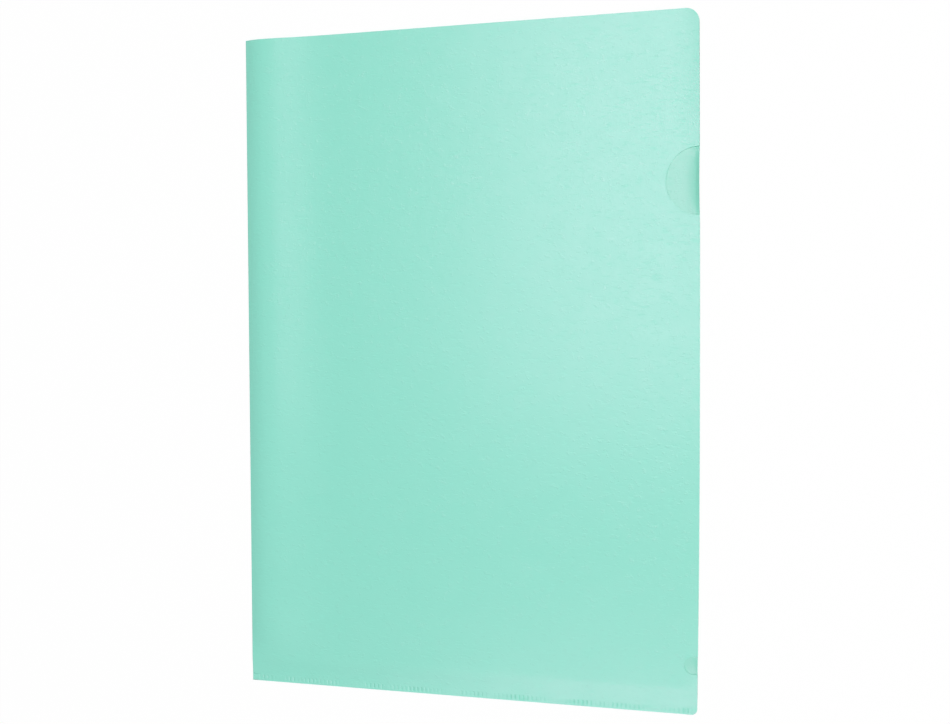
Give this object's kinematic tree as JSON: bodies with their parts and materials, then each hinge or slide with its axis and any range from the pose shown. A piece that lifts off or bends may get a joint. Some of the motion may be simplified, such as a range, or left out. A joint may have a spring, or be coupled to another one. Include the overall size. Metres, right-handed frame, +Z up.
{
  "type": "l-folder",
  "caption": "Tinted frosted A4 document sleeve of folded film, welded along the bottom and open at the top and side, with a half-round thumb cut; its free front corner bends open.",
  "frame": {"origin": "under the middle of the page, on the surface that the rear film lies on", "axes": "+X across the page from the fold to the open side, +Y up the page from the weld to the open top, +Z up through the front film"},
  "size_m": [0.22, 0.31, 0.0021],
  "materials": {
    "tinted_film": "milky mint polypropylene film with a fine embossed grain",
    "fused_film": "the same film fused by a serrated welding bar"
  },
  "bodies": {
    "folder": {"rear_sheet": "tinted_film", "front_sheet": "tinted_film", "fold_rise": "tinted_film", "fold_fall": "tinted_film", "fold_foot": "tinted_film", "spine_fold": "tinted_film", "bottom_weld": "fused_film"},
    "flap_1": {"flap_strip_1": "tinted_film"},
    "flap_2": {"flap_strip_2": "tinted_film"},
    "flap_3": {"flap_strip_3": "tinted_film"},
    "flap_4": {"flap_strip_4": "tinted_film"},
    "flap_5": {"flap_strip_5": "tinted_film"},
    "flap_tip": {"flap_corner": "tinted_film"}
  },
  "joints": [
    {"name": "flap_bend_1", "type": "hinge", "parent": "folder", "child": "flap_1", "pos_m": [0.01988, 0.02801, 0.001], "axis": [0.5787, -0.8155, 0], "range_deg": [0, 14], "stiffness_Nm_per_rad": 0.018},
    {"name": "flap_bend_2", "type": "hinge", "parent": "flap_1", "child": "flap_2", "pos_m": [0.03, 0.04228, 0.001], "axis": [0.5787, -0.8155, 0], "range_deg": [0, 14], "stiffness_Nm_per_rad": 0.018},
    {"name": "flap_bend_3", "type": "hinge", "parent": "flap_2", "child": "flap_3", "pos_m": [0.04013, 0.05655, 0.001], "axis": [0.5787, -0.8155, 0], "range_deg": [0, 14], "stiffness_Nm_per_rad": 0.018},
    {"name": "flap_bend_4", "type": "hinge", "parent": "flap_3", "child": "flap_4", "pos_m": [0.05026, 0.07082, 0.001], "axis": [0.5787, -0.8155, 0], "range_deg": [0, 14], "stiffness_Nm_per_rad": 0.018},
    {"name": "flap_bend_5", "type": "hinge", "parent": "flap_4", "child": "flap_5", "pos_m": [0.06039, 0.08509, 0.001], "axis": [0.5787, -0.8155, 0], "range_deg": [0, 14], "stiffness_Nm_per_rad": 0.018},
    {"name": "flap_bend_6", "type": "hinge", "parent": "flap_5", "child": "flap_tip", "pos_m": [0.07051, 0.09936, 0.001], "axis": [0.5787, -0.8155, 0], "range_deg": [0, 14], "stiffness_Nm_per_rad": 0.018}
  ],
  "couplings": [
    {"joint": "flap_bend_2", "follows": "flap_bend_1", "ratio": 1},
    {"joint": "flap_bend_3", "follows": "flap_bend_1", "ratio": 1},
    {"joint": "flap_bend_4", "follows": "flap_bend_1", "ratio": 1},
    {"joint": "flap_bend_5", "follows": "flap_bend_1", "ratio": 1},
    {"joint": "flap_bend_6", "follows": "flap_bend_1", "ratio": 1}
  ]
}
